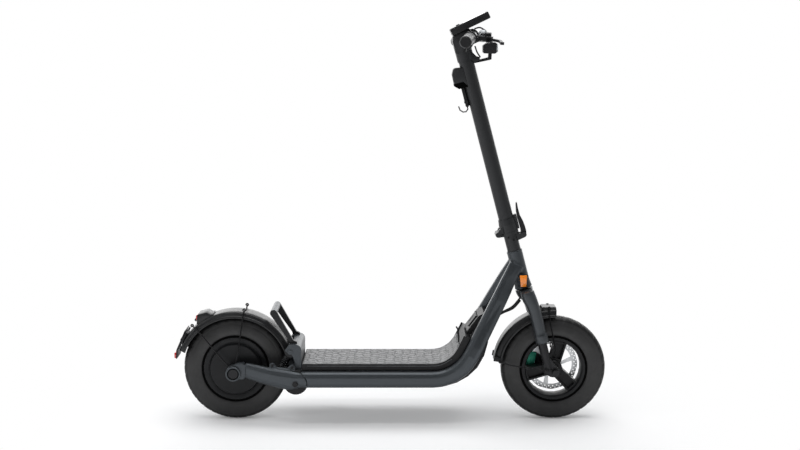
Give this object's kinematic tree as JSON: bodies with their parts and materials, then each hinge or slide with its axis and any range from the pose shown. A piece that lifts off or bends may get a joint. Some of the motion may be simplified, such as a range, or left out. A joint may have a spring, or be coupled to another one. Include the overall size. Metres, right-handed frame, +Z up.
{
  "type": "electric scooter",
  "caption": "Stand-up electric scooter with folding stem, telescopic fork, sprung swing arm, hub motor, disc brakes, fenders, long deck and loop handle.",
  "frame": {"origin": "on the ground under the middle of the scooter's box", "axes": "+X forward, +Y to the rider's left, +Z up"},
  "size_m": [1.3159, 0.6052, 1.228],
  "materials": {
    "main_frame": "satin",
    "pivot_shaft": "satin",
    "deck_plate": "matte",
    "deck_mat": "matte",
    "underbody_tray": "satin",
    "battery_pack": "matte",
    "front_cover": "matte",
    "rear_bracket": "satin",
    "loop_handle": "satin",
    "side_reflector_right": "matte",
    "side_reflector_left": "matte",
    "charge_port_cover": "matte",
    "kickstand": "satin",
    "swing_arm": "satin",
    "rear_fender": "matte",
    "tail_light_lens": "matte",
    "rear_reflector": "matte",
    "rear_axle": "satin",
    "motor_stator": "wound core",
    "rear_brake_caliper": "satin",
    "hub_motor_shell": "satin",
    "rear_tyre": "matte",
    "rear_brake_disc": "satin",
    "shock_body_right": "satin",
    "shock_spring_right": "satin",
    "shock_body_left": "satin",
    "shock_spring_left": "satin",
    "shock_rod_right": "satin",
    "shock_rod_left": "satin",
    "fork_crown": "satin",
    "steering_base": "satin",
    "fork_lower_leg_right": "satin",
    "fork_lower_leg_left": "satin",
    "front_axle": "satin",
    "front_brake_caliper": "satin",
    "front_fender": "matte",
    "front_rim": "satin",
    "front_tyre": "matte",
    "front_brake_disc": "satin",
    "fold_latch_lever": "satin",
    "stem_foot": "satin",
    "stem": "satin",
    "handlebar_clamp": "satin",
    "handlebar": "satin",
    "grip_right": "matte",
    "grip_left": "matte",
    "display_housing": "matte",
    "display_glass": "clear",
    "brake_perch_right": "satin",
    "brake_perch_left": "satin",
    "throttle_housing": "matte",
    "bell": "satin",
    "headlight_housing": "matte",
    "headlight_lens": "clear",
    "bag_hook": "matte",
    "power_button": "matte",
    "brake_lever_right": "satin",
    "brake_lever_left": "satin",
    "throttle_paddle": "matte",
    "bell_striker": "matte"
  },
  "bodies": {
    "chassis": {"main_frame": "main_frame", "pivot_shaft": "pivot_shaft", "deck_plate": "deck_plate", "deck_mat": "deck_mat", "underbody_tray": "underbody_tray", "battery_pack": "battery_pack", "front_cover": "front_cover", "rear_bracket": "rear_bracket", "loop_handle": "loop_handle", "side_reflector_right": "side_reflector_right", "side_reflector_left": "side_reflector_left"},
    "charge_lid": {"charge_port_cover": "charge_port_cover"},
    "stand": {"kickstand": "kickstand"},
    "rear_arm": {"swing_arm": "swing_arm", "rear_fender": "rear_fender", "tail_light_lens": "tail_light_lens", "rear_reflector": "rear_reflector", "rear_axle": "rear_axle", "motor_stator": "motor_stator", "rear_brake_caliper": "rear_brake_caliper"},
    "rear_wheel": {"hub_motor_shell": "hub_motor_shell", "rear_tyre": "rear_tyre", "rear_brake_disc": "rear_brake_disc"},
    "damper_right": {"shock_body_right": "shock_body_right", "shock_spring_right": "shock_spring_right"},
    "damper_left": {"shock_body_left": "shock_body_left", "shock_spring_left": "shock_spring_left"},
    "damper_rod_right": {"shock_rod_right": "shock_rod_right"},
    "damper_rod_left": {"shock_rod_left": "shock_rod_left"},
    "steering": {"fork_crown": "fork_crown", "steering_base": "steering_base"},
    "fork_lowers": {"fork_lower_leg_right": "fork_lower_leg_right", "fork_lower_leg_left": "fork_lower_leg_left", "front_axle": "front_axle", "front_brake_caliper": "front_brake_caliper", "front_fender": "front_fender"},
    "front_wheel": {"front_rim": "front_rim", "front_tyre": "front_tyre", "front_brake_disc": "front_brake_disc"},
    "latch": {"fold_latch_lever": "fold_latch_lever"},
    "stem": {"stem_foot": "stem_foot", "stem": "stem", "handlebar_clamp": "handlebar_clamp", "handlebar": "handlebar", "grip_right": "grip_right", "grip_left": "grip_left", "display_housing": "display_housing", "display_glass": "display_glass", "brake_perch_right": "brake_perch_right", "brake_perch_left": "brake_perch_left", "throttle_housing": "throttle_housing", "bell": "bell", "headlight_housing": "headlight_housing", "headlight_lens": "headlight_lens", "bag_hook": "bag_hook"},
    "button": {"power_button": "power_button"},
    "lever_right": {"brake_lever_right": "brake_lever_right"},
    "lever_left": {"brake_lever_left": "brake_lever_left"},
    "throttle": {"throttle_paddle": "throttle_paddle"},
    "striker": {"bell_striker": "bell_striker"}
  },
  "joints": [
    {"name": "steering_turn", "type": "hinge", "parent": "chassis", "child": "steering", "pos_m": [0.377, 0, 0.52], "axis": [-0.2554, 0, 0.9668], "range_deg": [-32, 32]},
    {"name": "fork_travel", "type": "slide", "parent": "steering", "child": "fork_lowers", "axis": [-0.2554, 0, 0.9668], "range_m": [0, 0.03], "stiffness_N_per_m": 9000, "springref_m": -0.016},
    {"name": "front_wheel_spin", "type": "hinge", "parent": "fork_lowers", "child": "front_wheel", "pos_m": [0.499, 0, 0.159], "axis": [0, 1, 0], "continuous": true},
    {"name": "stem_fold", "type": "hinge", "parent": "steering", "child": "stem", "pos_m": [0.32687, 0, 0.56881], "axis": [0, -1, 0], "range_deg": [0, 95]},
    {"name": "fold_latch_turn", "type": "hinge", "parent": "steering", "child": "latch", "pos_m": [0.40546, 0, 0.56889], "axis": [0, 1, 0], "range_deg": [0, 100]},
    {"name": "rear_arm_swing", "type": "hinge", "parent": "chassis", "child": "rear_arm", "pos_m": [-0.278, 0, 0.136], "axis": [0, 1, 0], "range_deg": [0, 7], "stiffness_Nm_per_rad": 450, "springref_deg": -4.58},
    {"name": "rear_wheel_spin", "type": "hinge", "parent": "rear_arm", "child": "rear_wheel", "pos_m": [-0.466, 0, 0.159], "axis": [0, 1, 0], "continuous": true},
    {"name": "kickstand_swing", "type": "hinge", "parent": "chassis", "child": "stand", "pos_m": [-0.1, 0.1035, 0.1085], "axis": [0, -1, 0], "range_deg": [0, 85]},
    {"name": "charge_lid_turn", "type": "hinge", "parent": "chassis", "child": "charge_lid", "pos_m": [0.26333, 0, 0.32366], "axis": [0, 1, 0], "range_deg": [0, 100]},
    {"name": "power_button_press", "type": "slide", "parent": "stem", "child": "button", "axis": [0.4305, 0, -0.9026], "range_m": [0, 0.0012], "stiffness_N_per_m": 600, "springref_m": -0.001},
    {"name": "throttle_press", "type": "hinge", "parent": "stem", "child": "throttle", "pos_m": [0.22921, -0.164, 1.15107], "axis": [-0.1405, -0.9875, -0.0721], "range_deg": [0, 40], "stiffness_Nm_per_rad": 0.15, "springref_deg": -17.19},
    {"name": "bell_striker_turn", "type": "hinge", "parent": "stem", "child": "striker", "pos_m": [0.27179, -0.08691, 1.16783], "axis": [-0.2578, -0.0338, 0.9656], "range_deg": [0, 25], "stiffness_Nm_per_rad": 0.02, "springref_deg": -11.46},
    {"name": "brake_lever_right_pull", "type": "hinge", "parent": "stem", "child": "lever_right", "pos_m": [0.28704, -0.16864, 1.14808], "axis": [-0.0502, 0.0798, -0.9955], "range_deg": [0, 20], "stiffness_Nm_per_rad": 1.2, "springref_deg": -11.46},
    {"name": "damper_right_turn", "type": "hinge", "parent": "chassis", "child": "damper_right", "pos_m": [-0.2955, -0.055, 0.2235], "axis": [0, 1, 0], "range_deg": [-1.5, 1.5]},
    {"name": "damper_right_stroke", "type": "slide", "parent": "damper_right", "child": "damper_rod_right", "axis": [0.4695, 0, 0.8829], "range_m": [0, 0.0075], "deforming": ["shock_spring_right"]},
    {"name": "brake_lever_left_pull", "type": "hinge", "parent": "stem", "child": "lever_left", "pos_m": [0.28704, 0.16864, 1.14808], "axis": [0.0502, 0.0798, 0.9955], "range_deg": [0, 20], "stiffness_Nm_per_rad": 1.2, "springref_deg": -11.46},
    {"name": "damper_left_turn", "type": "hinge", "parent": "chassis", "child": "damper_left", "pos_m": [-0.2955, 0.055, 0.2235], "axis": [0, 1, 0], "range_deg": [-1.5, 1.5]},
    {"name": "damper_left_stroke", "type": "slide", "parent": "damper_left", "child": "damper_rod_left", "axis": [0.4695, 0, 0.8829], "range_m": [0, 0.0075], "deforming": ["shock_spring_left"]}
  ],
  "couplings": [
    {"joint": "damper_right_turn", "follows": "rear_arm_swing", "ratio": -0.1457},
    {"joint": "damper_right_stroke", "follows": "rear_arm_swing", "m_per_rad": 0.05607},
    {"joint": "damper_left_turn", "follows": "rear_arm_swing", "ratio": -0.1457},
    {"joint": "damper_left_stroke", "follows": "rear_arm_swing", "m_per_rad": 0.05607}
  ]
}
